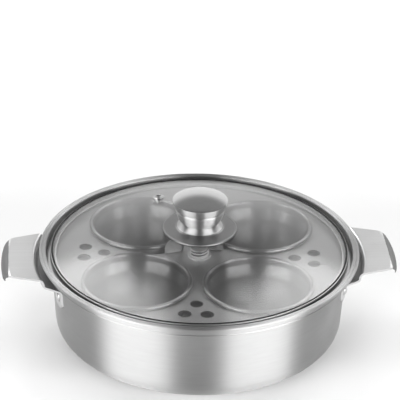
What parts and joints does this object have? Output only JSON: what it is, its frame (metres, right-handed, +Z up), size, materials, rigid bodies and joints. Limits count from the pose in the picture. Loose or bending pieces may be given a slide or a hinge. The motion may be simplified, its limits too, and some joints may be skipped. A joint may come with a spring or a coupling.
{
  "type": "egg poacher pan",
  "caption": "Stepped steel pan with side handles, a lift-out tray holding deep poaching cups, and a domed glass lid with a steel knob.",
  "frame": {"origin": "middle of the pan's underside, on the table", "axes": "+X towards the right handle, +Y away from the side with the front cups, +Z up along the pan's axis"},
  "size_m": [0.3666, 0.296, 0.1393],
  "materials": {
    "pan_steel": "satin stainless steel, brushed round the axis",
    "handle_steel": "satin stainless steel",
    "rivet_steel": "polished stainless steel",
    "tray_steel": "satin stainless steel sheet",
    "stud_steel": "bright turned steel",
    "cup_steel": "satin stainless steel with a polished rim",
    "lid_glass": "clear tempered glass, polished",
    "band_steel": "polished stainless steel",
    "knob_steel": "satin stainless steel with polished edges",
    "insert_polymer": "matte heat-resistant plastic",
    "gasket_rubber": "matte silicone rubber"
  },
  "bodies": {
    "pan": {"pan_body": "pan_steel", "handle_left": "handle_steel", "handle_right": "handle_steel", "rivets_left": "rivet_steel", "rivets_right": "rivet_steel"},
    "tray": {"tray_plate": "tray_steel", "centre_stud": "stud_steel", "stud_washer": "stud_steel", "stud_nut": "stud_steel"},
    "cup_1": {"cup_front_left": "cup_steel"},
    "cup_2": {"cup_front_right": "cup_steel"},
    "cup_3": {"cup_back_left": "cup_steel"},
    "cup_4": {"cup_back_right": "cup_steel"},
    "lid": {"lid_glass": "lid_glass", "lid_band": "band_steel", "vent_eyelet": "band_steel", "knob_base": "knob_steel", "knob_body": "knob_steel", "knob_cap": "knob_steel", "knob_insert": "insert_polymer", "knob_gasket": "gasket_rubber", "screw_washer": "stud_steel", "knob_screw": "stud_steel"}
  },
  "joints": [
    {"name": "tray_lift", "type": "slide", "parent": "pan", "child": "tray", "axis": [0, 0, 1], "range_m": [0, 0.078]},
    {"name": "lid_lift", "type": "slide", "parent": "tray", "child": "lid", "axis": [0, 0, 1], "range_m": [0, 0.106]},
    {"name": "cup_front_left_lift", "type": "slide", "parent": "tray", "child": "cup_1", "axis": [0, 0, 1], "range_m": [0, 0.0018]},
    {"name": "cup_front_right_lift", "type": "slide", "parent": "tray", "child": "cup_2", "axis": [0, 0, 1], "range_m": [0, 0.0018]},
    {"name": "cup_back_left_lift", "type": "slide", "parent": "tray", "child": "cup_3", "axis": [0, 0, 1], "range_m": [0, 0.0018]},
    {"name": "cup_back_right_lift", "type": "slide", "parent": "tray", "child": "cup_4", "axis": [0, 0, 1], "range_m": [0, 0.0018]}
  ]
}
